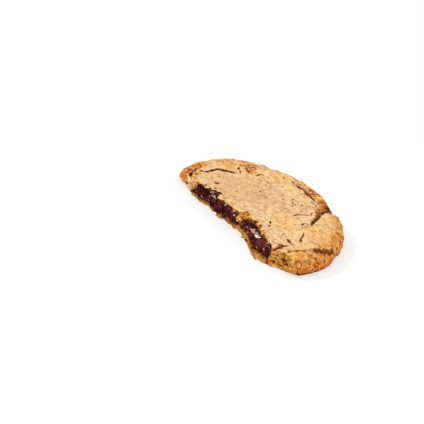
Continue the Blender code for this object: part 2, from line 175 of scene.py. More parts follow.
# the baked form; the sizes follow the solids, and the far left of the rim is lower, as in the photograph
cookie = {
    "thickness": 10.7, "widestLevel": 2.0, "undercut": 2.6, "shoulder": 9.0, "shoulderPower": 1.8,
    "radiusStep": 15,           # degrees between the radii
    "rimRadii": (46.3, 47.6, 47.5, 49.5, 49.6, 48.8, 50.0, 50.5, 51.9, 52.4, 52.8, 52.0,
                 49.4, 43.5, 43.0, 43.0, 43.0, 43.0, 43.0, 43.0, 43.2, 43.8, 44.4, 45.3),
    "puffAngle": 132, "puffSpread": 26, "puffRise": 0.9, "puffInset": 4.0, "puffWidth": 8.0,
    "rimLumps": ((5.2, 0.26), (2.6, 0.22)),     # size and height, fading inwards
    "lumpInset": (6.0, 11.0),
    "baseFade": (0.2, 1.4),     # heights between which the rim's lumps begin
    "calm": (44.0, 8.0, 24.0, 0.65),    # x and y where the rim is smoother, how far, and how much
    "waves": ((16.0, 0.10), (5.0, 0.06)),
    "sag": ((-47.0, 0.0, 12.0), (-47.0, 13.0, 12.0)),   # x, y and reach, where the far rim is lower
    "sagDepth": 0.8, "sagCore": 0.3,
    "ridges": (     # points, width at the start and at the end, and the heights there
        (((37.0, -13.8), (36.0, -10.5), (35.8, -6.2), (36.0, -1.8), (35.8, 3.0)), (3.6, 3.0), (0.9, 0.9)),
        (((42.2, 2.0), (42.6, 7.0), (42.9, 12.0), (42.4, 17.0)), (1.6, 1.6), (0.4, 0.4)),
        (((-14.0, 43.0), (-4.0, 44.2), (5.0, 43.6), (10.4, 41.6)), (6.0, 7.0), (0.1, 1.2)),
        (((-44.0, -5.0), (-42.0, -1.0), (-40.5, 4.0)), (4.0, 4.0), (0.8, 0.8)),
        (((-30.0, 36.4), (-21.0, 41.0), (-14.0, 43.0)), (7.0, 7.0), (0.6, 0.3)),
    ),
}


def rimRadius(angle):   # a smooth curve through the radii, angle in degrees
    radii = np.array(cookie["rimRadii"])
    place = (angle % 360) / cookie["radiusStep"]
    index = place.astype(int)
    t = place - index
    before, here, there, after = (radii[(index + k) % len(radii)] for k in (-1, 0, 1, 2))
    return here + 0.5 * t * (there - before + t * (2 * before - 5 * here + 4 * there - after
                                                   + t * (3 * (here - there) + after - before)))


def insetAt(x, y):      # how far in from the rim a place lies
    return rimRadius(np.degrees(np.arctan2(y, x))) - np.hypot(x, y)


def topHeight(x, y, inset, waves):
    turn = (np.degrees(np.arctan2(y, x)) - cookie["puffAngle"] + 180) % 360 - 180
    across = (inset - cookie["puffInset"]) / cookie["puffWidth"]
    puff = cookie["puffRise"] * np.exp(-(turn / cookie["puffSpread"]) ** 2 - across ** 2)
    height = cookie["thickness"] + waves + puff
    rise = np.zeros(x.shape)
    for points, widths, heights in cookie["ridges"]:
        gap, share, side = lineDistance(points, x, y)
        half = np.interp(share, (0, 1), widths) / 2
        rise = np.maximum(rise, np.interp(share, (0, 1), heights) * np.clip(1 - (gap / half) ** 2, 0, 1))
    rise -= cookie["sagDepth"] * nearPlaces(cookie["sag"], cookie["sagCore"], x, y)
    edge = cracking["liftEdge"]
    for points, widths, depths, lifts, tone in cracking["lines"]:
        if any(lifts):
            gap, share, side = lineDistance(points, x, y)
            lift = np.interp(share, (0, 0.5, 1), lifts) * smooth(cracking["liftReach"], 0, gap)
            rise += lift * smooth(-edge, edge, side * gap)
    return height + rise


def bakedForm(z, height, inset):    # below zero inside the whole cookie, smooth
    widest, power = cookie["widestLevel"], cookie["shoulderPower"]
    side = np.clip(1 - inset / cookie["shoulder"], 0, None)[..., None]
    up = np.clip((z - widest) / (height[..., None] - widest), 0, None)
    above = (side ** power + up ** power) ** (1 / power) - 1
    low = np.clip(1 - inset / cookie["undercut"], 0, None)[..., None]
    below = np.hypot(low, np.clip((widest - z) / widest, 0, None)) - 1
    return np.where(z > widest, above * (cookie["thickness"] - widest), below * widest).astype(np.float32)


def lumpyForm(axes, inset):     # the baked form with the lumps of its rim
    x, y, z = axes
    flatX, flatY = np.meshgrid(x, y, indexing="ij")
    waves = sum(rise * softNoise((x, y), size, seeds["waves"] + k)
                for k, (size, rise) in enumerate(cookie["waves"]))
    form = bakedForm(z, topHeight(flatX, flatY, inset, waves), inset)
    calmX, calmY, reach, share = cookie["calm"]
    calm = 1 - share * smooth(reach, reach / 2, np.hypot(flatX - calmX, flatY - calmY))
    start, end = cookie["lumpInset"]
    offBase = smooth(*cookie["baseFade"], z)
    rimBand = (calm * (1 - smooth(start, end, inset)))[..., None] * offBase
    for k, (size, rise) in enumerate(cookie["rimLumps"]):
        form -= rise * rimBand * softNoise(axes, size, seeds["rimLumps"] + k)
    size, rise = crackle["jags"]
    jagged = (calm * crackleAmount(flatX, flatY, inset))[..., None] * offBase
    form -= rise * jagged * softNoise(axes, size, seeds["jags"])
    return form


# the cracks, narrower and shallower than the solids', and some up to 2 mm beside them
cracking = {
    "lines": (  # points, widths and depths at both ends, how far the left side stands up, and how dark its painted shade and painted highlight are
        (((-37.6, 0.4), (-35.4, 1.9), (-35.3, 5.0), (-35.1, 9.0), (-32.6, 12.2), (-29.8, 14.9),
          (-27.4, 16.6), (-27.8, 18.6), (-29.2, 19.6)), (1.15, 1.35), (2.2, 1.6), (0.1, 0.3, 0.1), 1.0),
        (((-32.4, -10.5), (-34.7, -8.5), (-36.4, -6.5), (-39.0, -3.0), (-40.5, 0.2)),
         (2.6, 1.0), (1.5, 1.1), (0, 0, 0), 0.8),
        (((-32.8, 21.6), (-31.4, 20.2), (-28.5, 19.5), (-27.4, 20.6)),
         (0.9, 0.8), (0.9, 0.7), (0, 0, 0), 0.7),
        (((-33.4, 23.0), (-31.4, 24.2), (-28.3, 24.5), (-28.6, 26.6), (-28.6, 29.4)),
         (0.8, 0.7), (0.7, 0.6), (0.2, 0.2, 0), 0.5),
        (((-36.4, 24.0), (-34.2, 26.4), (-31.8, 27.2)), (0.8, 0.7), (0.6, 0.6), (0, 0, 0), 0.4),
        (((-22.9, 25.0), (-23.8, 27.9), (-22.0, 29.0)), (0.9, 0.8), (0.7, 0.7), (0, 0, 0), 0.6),
        (((-6.8, 39.0), (-2.6, 39.4), (1.8, 38.6), (5.2, 38.2), (8.4, 37.4)),
         (1.4, 0.8), (1.2, 0.7), (0.2, 0.4, 0.1), 0.7),
        (((6.9, 36.8), (7.3, 35.2), (9.4, 35.3), (11.8, 35.2), (14.0, 34.6)),
         (0.9, 1.0), (1.0, 1.0), (0, 0.2, 0), 0.8),
        (((14.0, 47.5), (15.0, 41.5), (16.0, 36.2), (18.6, 31.4), (21.6, 24.9), (23.4, 21.2)),
         (1.0, 1.1), (1.0, 1.0), (-1.7, -0.9, 0), 1.0),
        (((11.8, 46.5), (13.4, 40.5), (15.4, 34.6), (19.2, 28.6)), (4.4, 1.4), (0.8, 0.8), (0, 0, 0), 0.2),
        (((21.6, 16.4), (21.4, 18.6), (22.6, 19.6), (24.4, 20.4)), (1.1, 0.9), (0.9, 0.8), (0, 0, 0), 0.8),
        (((23.8, 22.0), (25.6, 24.4), (27.0, 27.4), (29.8, 28.8), (31.6, 31.0), (32.9, 34.5)),
         (0.8, 0.8), (0.6, 0.6), (0, -0.3, -0.5), 0.5),
        (((13.6, 18.6), (13.4, 20.6), (14.4, 22.5), (15.8, 25.3)), (1.0, 0.8), (0.8, 0.7), (0, 0, 0), 0.75),
        (((17.3, 4.6), (18.2, 3.0)), (0.6, 0.5), (0.5, 0.4), (0, 0, 0), 0.3),
        (((20.6, 6.2), (22.3, 4.2)), (0.6, 0.5), (0.5, 0.4), (0, 0, 0), 0.4),
        (((24.2, 2.6), (25.6, 0.4)), (0.6, 0.5), (0.5, 0.4), (0, 0, 0), 0.4),
        (((15.0, 28.8), (17.0, 26.4)), (0.9, 0.9), (0.5, 0.5), (0, 0, 0), 0.5),
        (((28.0, 12.0), (30.4, 9.3), (31.6, 7.0), (33.8, 4.8)), (0.8, 1.1), (0.7, 1.0), (0, 0, 0), 0.8),
        (((29.2, 0.6), (32.3, -0.6), (35.0, -1.4)), (1.0, 1.4), (0.7, 0.8), (0, 0, 0), 0.7),
        (((34.0, -15.0), (33.6, -10.9), (33.0, -7.7), (33.5, -4.9), (34.8, -1.9)),
         (2.0, 1.6), (0.9, 0.8), (0, 0, 0), 0.4),
        (((37.9, -9.3), (37.9, -5.1), (38.6, -1.5), (39.8, 1.6), (40.6, 6.6)),
         (0.9, 0.9), (0.9, 0.5), (0, 0.2, 0.2), 0.2),
        (((40.6, 6.6), (41.6, 10.0), (42.4, 13.4), (42.5, 16.4), (41.6, 20.2)),
         (1.0, 1.4), (0.8, 0.9), (0.2, 0.2, 0), 0.6),
    ),
    "notch": 8,     # the deep step in the rim, by its place among the lines
    "liftEdge": 0.3, "liftReach": 6.5,  # half a step's width, and how far off its high side is down again
    "waver": 0.42, "waverMost": (-0.8, 2.0), "waverSize": 1.4,  # how uneven a crack's width is
    "shift": 0.12,              # the same noise moves its walls by this, mm
    "ragged": 0.15, "raggedSize": 0.9,  # mm, the roughness of its walls
    "darkInset": (0.3, 3.0),    # a crack's painted shade and painted highlight fade out where it opens at the rim
    "darkWall": (-0.32, 0.0),   # mm outside a wall, where its painted shade begins and where it is full
    "highlightHeight": (6.5, 9.0), "highlightOut": (-1.5, -0.8), "highlightIn": (-0.1, -0.5),  # its painted highlight beside the wall, mm
    "margin": 4.0, "none": -9.0,    # mm that a crack can reach, and its hollow's value beyond
}


def blockAround(points, axes):      # the columns of the grid that a crack can reach
    block = []
    for k, axis in enumerate(axes):
        low = min(point[k] for point in points) - cracking["margin"]
        high = max(point[k] for point in points) + cracking["margin"]
        near = (axis > low) & (axis < high)
        block.append(slice(near.argmax(), len(axis) - near[::-1].argmax()))
    return tuple(block)


def crackCut(axes, form, inset):    # the cracks' hollows, positive inside a crack, with the painted shade on their walls and the painted highlight beside them
    x, y, z = axes
    waver = softNoise((x, y), cracking["waverSize"], seeds["waver"])
    ragged = softNoise(axes, cracking["raggedSize"], seeds["ragged"])
    cut = np.full(form.shape, cracking["none"], np.float32)
    ink = np.zeros(form.shape, np.float32)      # how dark the painted shade on the crack's walls is
    edges = np.zeros(form.shape, np.float32)    # the painted highlight along its edges
    for points, widths, depths, lifts, tone in cracking["lines"]:
        block = blockAround(points, (x, y))
        gap, share, side = lineDistance(points, *np.meshgrid(x[block[0]], y[block[1]], indexing="ij"))
        uneven = 1 + cracking["waver"] * np.clip(waver[block], *cracking["waverMost"])
        half = np.interp(share, (0, 1), widths) / 2 * uneven
        gap = gap + cracking["shift"] * np.abs(waver[block])
        depth = np.interp(share, (0, 1), depths)[..., None]
        left = 1 + form[block] / depth
        steep = half[..., None] * np.sqrt(np.clip(left, 0, None)) - gap[..., None]
        hollow = np.minimum(steep + cracking["ragged"] * ragged[block], left * depth)
        cut[block] = np.maximum(cut[block], np.where(z > cookie["widestLevel"], hollow, cracking["none"]))
        inner = smooth(*cracking["darkInset"], inset[block])[..., None]
        ink[block] = np.maximum(ink[block], tone * inner * smooth(*cracking["darkWall"], hollow))
        lowSide = ((side > 0) | (min(lifts) >= 0))[..., None]
        highlightShare = tone * inner * lowSide * smooth(*cracking["highlightHeight"], z)
        edge = highlightShare * smooth(*cracking["highlightOut"], hollow) * smooth(*cracking["highlightIn"], hollow)
        edges[block] = np.maximum(edges[block], edge)
    return cut, ink, edges


# the crust: broken plates with grooves on the rim, pores and fine wrinkles everywhere, dark flecks
crackle = {
    "patches": ((-31.0, 25.5, 9.0, 0.9), (-39.5, -5.0, 8.0, 1.0), (-44.0, 3.0, 8.0, 0.9),
                (-37.0, 22.0, 9.0, 0.5), (-8.0, 42.0, 8.0, 0.5), (2.0, 42.0, 9.0, 0.75),
                (12.0, 41.0, 8.0, 0.7), (41.0, -9.0, 7.0, 0.5),
                (43.0, 14.0, 8.0, 0.4)),    # x, y, radius, amount
    "jags": (2.4, 0.45),        # size and height of the lumps in these patches
    "rim": 0.38, "rimInset": (11.0, 4.0),
    "plates": 2.3, "plateStep": 0.3, "plateDome": 0.5,
    "grooveWidth": 0.34, "grooveDepth": 0.65, "seamWidth": 0.24,
    "scales": 1.3, "scaleGroove": 0.2, "scaleDepth": 0.3,
    "warp": 0.8, "warpSize": 1.5, "openSize": 3.2, "openLevel": (-1.2, 0.3),
    "patchCore": 0.35,          # the share of a patch's radius that is full
    "least": 0.02,              # less than this doesn't count as rough
    "domeLevel": 0.4,           # a plate keeps its level this share of its size from its middle
}
crust = {
    "pores": 2.6, "poreRadius": 0.45, "poreDepth": 0.45,
    "poreGrowth": 2.4, "poreLoss": 1.2,     # of a pore's share of that radius; half the cells have none
    "poreReach": 1.2, "poreLeast": 0.05,
    "wrinkleSize": 2.1, "wrinkleWidth": 0.2, "wrinkleDepth": 0.16,
    "wrinkledSize": 6.0, "wrinkledLevel": (0.0, 0.9),   # the patches that have wrinkles
    "grains": ((3.0, 0.04), (1.2, 0.05), (0.8, 0.04)),  # size and height
    "band": 1.4, "baseLevel": 0.2, "fullLevel": 1.2,    # mm beside the form and above the base
}
specks = {      # dark flecks and holes in the top: x, y, half width in mm, and length over width
    "seen": ((-25.0, 0.6, 1.35, 0.75), (-29.3, 6.0, 0.5, 1.4), (-14.5, 4.9, 0.6, 1.0),
             (-10.2, 16.7, 0.6, 1.5), (-15.6, 26.4, 0.5, 1.4), (-5.1, 16.0, 0.4, 1.4),
             (0.0, 22.9, 0.5, 1.4), (1.5, 28.2, 0.6, 1.4), (4.0, 25.8, 0.5, 1.4),
             (5.9, 25.8, 0.55, 1.4), (6.2, 23.6, 0.45, 1.4), (7.5, 28.9, 0.8, 1.2),
             (11.5, 24.7, 0.4, 1.4), (14.1, 2.4, 0.55, 2.9), (16.4, -0.1, 0.6, 1.9),
             (21.7, 16.5, 0.65, 1.7), (-25.6, -5.8, 0.8, 1.4), (-21.3, -3.2, 0.6, 1.4),
             (-16.3, 37.4, 0.6, 1.4), (-10.8, 38.5, 0.6, 1.6), (38.8, -10.9, 1.2, 1.2),
             (37.9, -6.3, 0.5, 1.4), (-34.9, -4.8, 0.7, 1.4), (24.0, 14.6, 0.4, 1.6)),
    "depth": 0.9, "topLevel": 7.0,
    "diagonal": 0.7071,     # they are long across the line of x = y
    "fade": (1.1, 0.6),     # the soft edge, as shares of a radius, which is
    "halfShare": 0.7, "halfMore": 0.15,     # this share of the half width, and so much more
}


def crackleAmount(x, y, inset):     # how rough the crust is, 0 to 1
    amount = crackle["rim"] * smooth(*crackle["rimInset"], inset)
    for px, py, radius, most in crackle["patches"]:
        near = smooth(radius, crackle["patchCore"] * radius, np.hypot(x - px, y - py))
        amount = np.maximum(amount, most * near)
    return amount


def crackleNoises(axes):    # what bends the plates, and what opens the grooves between them
    warps = [softNoise(axes, crackle["warpSize"], seeds["warp"] + k) for k in range(3)]
    return warps, softNoise(axes, crackle["openSize"], seeds["opened"])


def crackleSink(points, warp, opened):      # how far the broken crust sinks, mm
    warped = points + crackle["warp"] * warp
    nearest, second, number = cells(warped, crackle["plates"], seeds["plates"])
    opened = smooth(*crackle["openLevel"], opened)      # only some of the grooves are open
    sunk = opened * crackle["grooveDepth"] * np.exp(-((second - nearest) / crackle["grooveWidth"]) ** 2)
    dome = crackle["plateDome"] * (nearest / crackle["plates"] - crackle["domeLevel"])
    sunk += dome + crackle["plateStep"] * (number - 0.5)
    nearest, second, number = cells(warped, crackle["scales"], seeds["scales"])
    sunk += opened * crackle["scaleDepth"] * np.exp(-((second - nearest) / crackle["scaleGroove"]) ** 2)
    return sunk


def speckShape(x, y, speck):    # 1 in a fleck or hole, 0 beside it
    speckX, speckY, half, stretch = speck
    dx, dy, diagonal = x - speckX, y - speckY, specks["diagonal"]
    along, across = (dx - dy) * diagonal, (dx + dy) * diagonal
    radius = specks["halfShare"] * half + specks["halfMore"]
    return smooth(*specks["fade"], np.hypot(along / stretch, across) / radius)


def poreSink(points):
    nearest, second, number = cells(points, crust["pores"], seeds["pores"])
    radius = crust["poreRadius"] * np.clip(number * crust["poreGrowth"] - crust["poreLoss"], 0, 1)
    reach = crust["poreReach"] - nearest / np.maximum(radius, crust["poreLeast"])
    return crust["poreDepth"] * np.clip(reach, 0, 1)


def crustedForm(axes, form, inset, warps, opened):      # the form with its crust's relief
    band = np.argwhere((np.abs(form) < crust["band"]) & (axes[2] > crust["baseLevel"]))
    where = tuple(band.T)
    points = nodePoints(band, axes)
    x, y, z = points.T
    relief = poreSink(points)       # how far the crust sinks below the form, mm
    wrinkles = softNoise(axes, crust["wrinkleSize"], seeds["wrinkles"])[where]
    wrinkled = softNoise(axes, crust["wrinkledSize"], seeds["wrinkled"])[where]
    lines = np.exp(-(wrinkles / crust["wrinkleWidth"]) ** 2) * smooth(*crust["wrinkledLevel"], wrinkled)
    relief += crust["wrinkleDepth"] * lines
    for k, (size, rise) in enumerate(crust["grains"]):
        relief += rise * softNoise(axes, size, seeds["crustGrains"] + k)[where]
    near = inset[where[:2]]
    amount = crackleAmount(x, y, near)
    rough = amount > crackle["least"]
    warp = np.stack([grid[where] for grid in warps], 1)
    relief[rough] += amount[rough] * crackleSink(points[rough], warp[rough], opened[where][rough])
    for speck in specks["seen"]:
        relief += specks["depth"] * speckShape(x, y, speck)
    sideShare = smooth(crust["baseLevel"], crust["fullLevel"], z)
    seen = np.where(near < cookie["undercut"], sideShare, z > cookie["widestLevel"] * 2)
    outer = form.copy()
    outer[where] += (seen * relief).astype(np.float32)
    return outer


# the break, torn and uneven, with the crumb's grains and holes
tear = {
    "levels": (     # height, then how far the torn face stands out in y along x
        (0.3, ((-60, 3.0), (-49, 0.8), (-45.6, -0.4), (-42, -1.6), (-37.5, -3.7), (-31, -5.6),
               (-25, -5.4), (-12, -5.8), (4.7, -5.4), (8.8, -8.0), (13.1, -9.4), (17, -10.8),
               (21, -13.0), (24, -13.8), (26.6, -13.2), (32.2, -10.9), (35.6, -9.3), (39.1, -7.2),
               (43.2, -4.2), (60, 0.0))),
        (3.4, ((-60, -1.0), (-50, -2.6), (-46.5, -5.0), (-40, -6.1), (-35, -6.2), (-31, -7.0),
               (-24, -6.6), (-12, -5.9), (-3, -5.3), (3, -5.7), (10.6, -7.8), (17, -10.0), (22, -11.9),
               (26.6, -11.6), (31, -10.4), (36, -9.0), (40, -8.0), (43.5, -6.2), (60, -1.0))),
        (8.2, ((-60, -2.0), (-48, -4.2), (-44.5, -6.4), (-40, -7.0), (-35, -7.2), (-31, -8.3),
               (-27, -8.8), (-24, -7.0), (-20, -5.2), (-16, -5.2), (-13, -7.2), (-8, -6.9), (-3, -7.5),
               (1, -8.2), (4.5, -7.6), (9, -6.8), (13, -6.2), (16, -6.2), (20, -7.8), (24, -9.4),
               (29, -11.4), (33.5, -12.4), (36.5, -10.6), (40, -8.7), (43, -7.0), (60, -2.0))),
        (10.9, ((-60, -2.0), (-45, -5.4), (-40.5, -6.4), (-37, -6.9), (-34, -7.6), (-31, -8.0),
                (-28.5, -9.0), (-26.5, -7.4), (-23.4, -9.2), (-22.5, -6.4), (-20.5, -7.4),
                (-19.8, -3.6), (-18.6, -5.4), (-16.6, -4.4), (-13.7, -7.8), (-10.8, -7.6),
                (-7.6, -7.0), (-3.2, -8.2), (0.9, -8.8), (2.0, -3.4), (3.2, -1.6), (5.7, -2.2),
                (9.1, -3.2), (15, -5.0), (18.9, -7.1), (23.6, -9.5), (29.1, -11.8), (32, -13.1),
                (34.4, -13.0), (36.4, -10.8), (38.8, -9.2), (42, -7.4), (60, -2.0))),
    ),
    "lumps": ((4.0, 0.35), (1.7, 0.4), (0.9, 0.22)),    # size and height
    "grains": ((2.2, 0.75), (1.1, 0.6)),    # the same, of the crumb's rounded grains
    "grainLevel": 0.45, "grainSlope": 1.6,
    "holes": 3.4, "holeRadius": 1.4, "holeDepth": 1.8, "holeLeast": 0.3,
    "band": 2.2,        # mm beside the face in which the crumb is worked out
    "slope": 0.85,      # turns a distance in y into a distance from the torn face
}


def breakGap(axes):     # how far in front of the smooth torn face each node of the grid lies
    x, y, z = axes
    levels = [level for level, line in tear["levels"]]
    lines = [np.interp(x, *zip(*line))[:, None] for level, line in tear["levels"]]
    face = lines[0]
    for k in range(len(levels) - 1):
        share = np.clip((z - levels[k]) / (levels[k + 1] - levels[k]), 0, 1)
        face = face + (lines[k + 1] - lines[k]) * share
    return (face[:, None, :] - y[None, :, None]).astype(np.float32)


def crumbSink(axes, gap):       # how far the crumb sinks between its grains and into its holes
    band = np.argwhere(np.abs(gap) < tear["band"])
    points = nodePoints(band, axes)
    sunk = np.zeros(len(band))
    for k, (size, rise) in enumerate(tear["grains"]):
        nearest, second, number = cells(points, size, seeds["crumbGrains"] + k)
        sunk += rise * (nearest / size - tear["grainLevel"]) * tear["grainSlope"]
    nearest, second, number = cells(points, tear["holes"], seeds["crumbHoles"])
    radius = tear["holeRadius"] * (tear["holeLeast"] + number)
    sunk += tear["holeDepth"] * np.clip(1 - nearest / radius, 0, 1)
    crumb = np.zeros(gap.shape, np.float32)
    crumb[tuple(band.T)] = sunk
    return crumb


def tornFace(axes, smoothGap):      # distance in front of the torn face, and how far its crumb sinks
    gap = smoothGap.copy()
    for k, (size, rise) in enumerate(tear["lumps"]):
        gap += rise * softNoise(axes, size, seeds["tearLumps"] + k)
    crumb = crumbSink(axes, gap)
    return (gap + crumb) * tear["slope"], crumb


# the filling, a slab in its pocket, with an uneven cover of the break
filling = {
    "radius": 32.2, "low": 3.3, "high": 9.0,
    "spread": ((-35.5, 1.5, 1.5), (-33.5, 1.6, 2.6), (-29.0, 4.0, 8.2), (-27.5, 2.6, 9.8),
               (-24.4, 3.3, 8.6), (-22.8, 3.4, 9.9), (-18.0, 2.6, 10.4), (-16.5, 2.3, 8.8),
               (-13.5, 2.3, 8.4), (-9.0, 2.4, 9.9), (-2.0, 3.3, 9.0), (0.8, 3.6, 8.5),
               (2.0, 4.7, 7.0), (3.6, 4.8, 6.8), (6.5, 4.7, 8.6), (11.0, 4.2, 9.0),
               (13.5, 3.5, 8.6), (20.0, 3.4, 8.5), (25.0, 3.9, 9.3), (29.5, 3.7, 9.4),
               (31.8, 7.5, 8.6), (33.0, 8.0, 8.0)),     # x, and how low and high it covers the break
    "floor": 1.0, "ceiling": 10.1,      # it stays between these heights
    "bulge": 0.8, "edge": 0.20,
    "ropes": (((9.0, 5.0, 2.4), 0.42), ((4.0, 3.0, 1.5), 0.14)),
    "grown": 0.2, "pocketGrown": 0.1,   # mm past the slab's sizes, so that it presses in and no gap shows
    "skin": 1.2,                # the crumb that closes over it where it doesn't reach the break
    "coverSlope": 3.0,          # how steeply the pocket closes there
    "edgeSize": 1.7, "edgeMost": 1.8, "thinnest": 0.05,     # mm, of the noise, its limit, and mm
    "ropeFade": (1.1, 0.7), "thinMost": -3.0,
    "slabStart": 0.4, "coverBack": 1.2,     # mm behind the break: where the slab begins and the cover ends
    "bits": (       # small crumbs of dough that stick to it: x, height, radius
        (11.6, 5.9, 0.6), (13.8, 8.1, 0.9), (16.5, 8.0, 0.7), (10.1, 4.5, 0.5), (4.4, 7.0, 0.7),
        (6.2, 7.2, 0.6), (-28.6, 5.4, 0.5), (-24.4, 4.7, 0.6), (-28.5, 7.9, 0.6), (-20.3, 9.4, 0.6),
        (-20.0, 5.1, 0.5), (-20.1, 2.8, 0.5), (22.6, 5.0, 0.6), (27.4, 6.8, 0.6),
    ),
    "bitRise": 0.4, "bitEdge": (1.3, 0.5), "bitFront": (-1.5, -0.3),
    "triangles": 70000,
}


def spreadAt(x, z):     # 0 at the middle of the filling's cover of the break, 1 at its edge
    places, lows, highs = zip(*filling["spread"])
    low, high = np.interp(x, places, lows), np.interp(x, places, highs)
    return np.abs(z - (low + high) / 2) / np.maximum((high - low) / 2, filling["thinnest"])


def coverField(axes):   # the same on a grid, with an uneven edge
    x, y, z = axes
    share = spreadAt(x[:, None], z[None, :])[:, None, :]
    most = filling["edgeMost"]
    uneven = np.clip(softNoise(axes, filling["edgeSize"], seeds["coverEdge"]), -most, most)
    return share + filling["edge"] * uneven


def slabField(axes, grow):      # distance outside the filling's slab with its half-round edge
    x, y, z = axes
    middle, half = (filling["low"] + filling["high"]) / 2, (filling["high"] - filling["low"]) / 2
    outward = np.maximum(np.hypot(x[:, None, None], y[:, None]) - (filling["radius"] - half), 0)
    return np.hypot(outward, np.abs(z - middle)) - half - grow


# the meshes, made on a grid
volume = {"step": 0.34, "low": (-54.2, -17.0, -1.0), "high": (48.8, 52.6, 13.4)}    # mm


def gridAxes():
    return [np.arange(low, high, volume["step"], dtype=np.float32)
            for low, high in zip(volume["low"], volume["high"])]


def nodePoints(nodes, axes):    # the places of some nodes of the grid
    return np.stack([axis[nodes[:, k]] for k, axis in enumerate(axes)], 1).astype(float)


def surfaceNet(field, axes):    # closed quads where the field passes zero, a point in each crossed cell
    inside = field < 0
    corners = np.zeros([n - 1 for n in field.shape], np.int8)
    for corner in np.ndindex(2, 2, 2):
        corners += inside[tuple(slice(c, n - 1 + c) for c, n in zip(corner, field.shape))]
    crossed = (corners > 0) & (corners < 8)
    number = np.full(crossed.shape, -1, np.int64)
    number[crossed] = np.arange(crossed.sum())
    step = float(axes[0][1] - axes[0][0])
    points = cellPoints(field, np.argwhere(crossed)) * step + np.array([axis[0] for axis in axes])
    quads = []
    for axis in range(3):
        low = inside[tuple(slice(0, -1) if a == axis else slice(None) for a in range(3))]
        high = inside[tuple(slice(1, None) if a == axis else slice(None) for a in range(3))]
        others = [a for a in range(3) if a != axis]
        for flip in (False, True):
            edges = np.argwhere((low & ~high) if flip else (~low & high))
            around = []
            for steps in ((-1, -1), (0, -1), (0, 0), (-1, 0)):
                cell = edges.copy()
                cell[:, others] += steps
                around.append(number[tuple(cell.T)])
            turned = flip != (axis == 1)
            quads.append(np.stack(around if turned else around[::-1], 1))
    return largestPart(points, np.concatenate(quads))


def cellPoints(field, at):      # the middle of the places where a crossed cell's edges pass zero
    total, count = np.zeros((len(at), 3)), np.zeros(len(at))
    for axis in range(3):
        others = [a for a in range(3) if a != axis]
        for corner in np.ndindex(2, 2):
            start = at.copy()
            start[:, others] += corner
            end = start.copy()
            end[:, axis] += 1
            low, high = field[tuple(start.T)], field[tuple(end.T)]
            hit = (low < 0) != (high < 0)
            point = start[hit].astype(float)
            point[:, axis] += low[hit] / (low[hit] - high[hit])
            total[hit] += point
            count[hit] += 1
    return total / count[:, None]


def largestPart(points, quads):     # the mesh without the small loose parts and closed hollows beside it
    label = np.arange(len(points))
    settled = False
    while not settled:
        lowest = label[quads].min(axis=1)
        spread = label.copy()
        for corner in range(4):
            np.minimum.at(spread, quads[:, corner], lowest)
        spread = spread[spread]
        settled = np.array_equal(spread, label)
        label = spread
    kept = label == np.bincount(label).argmax()
    number = np.cumsum(kept) - 1
    return points[kept], number[quads[kept[quads[:, 0]]]]


def sampled(field, axes, points):   # a grid's values at points, between its nodes
    place = [(points[:, k] - axes[k][0]) / (axes[k][1] - axes[k][0]) for k in range(3)]
    index = [np.clip(p.astype(int), 0, n - 2) for p, n in zip(place, field.shape)]
    t = [np.clip(p - i, 0, 1) for p, i in zip(place, index)]
    value = np.zeros(len(points))
    for corner in np.ndindex(2, 2, 2):
        weight = np.ones(len(points))
        for k in range(3):
            weight = weight * (t[k] if corner[k] else 1 - t[k])
        value += weight * field[tuple(i + c for i, c in zip(index, corner))]
    return value


def thinned(name, points, quads, triangles):    # a mesh object thinned where it is flat
    mesh = bpy.data.meshes.new(name)
    mesh.from_pydata(points, [], quads)
    rough = bpy.data.objects.new(name + "Rough", mesh)
    bpy.context.scene.collection.objects.link(rough)
    thin = rough.modifiers.new("thin", "DECIMATE")
    thin.ratio = min(1.0, triangles / (2 * len(quads)))
    made = bpy.data.meshes.new_from_object(rough.evaluated_get(bpy.context.evaluated_depsgraph_get()))
    bpy.data.objects.remove(rough)
    bpy.data.meshes.remove(mesh)
    made.name = name
    piece = bpy.data.objects.new(name, made)
    bpy.context.scene.collection.objects.link(piece)
    made.shade_smooth()
    place = np.zeros(len(made.vertices) * 3)
    made.vertices.foreach_get("co", place)
    return piece, place.reshape(-1, 3)


def finishPiece(piece, points, marks):      # store the marks for the material and move into the frame
    for name, values in marks.items():
        layer = piece.data.attributes.new(name, "FLOAT", "POINT")
        layer.data.foreach_set("value", np.asarray(values, np.float32))
    placed = (points + np.array([*layout["centre"], 0.0])) * mm
    piece.data.vertices.foreach_set("co", placed.ravel())
    piece.data.update()


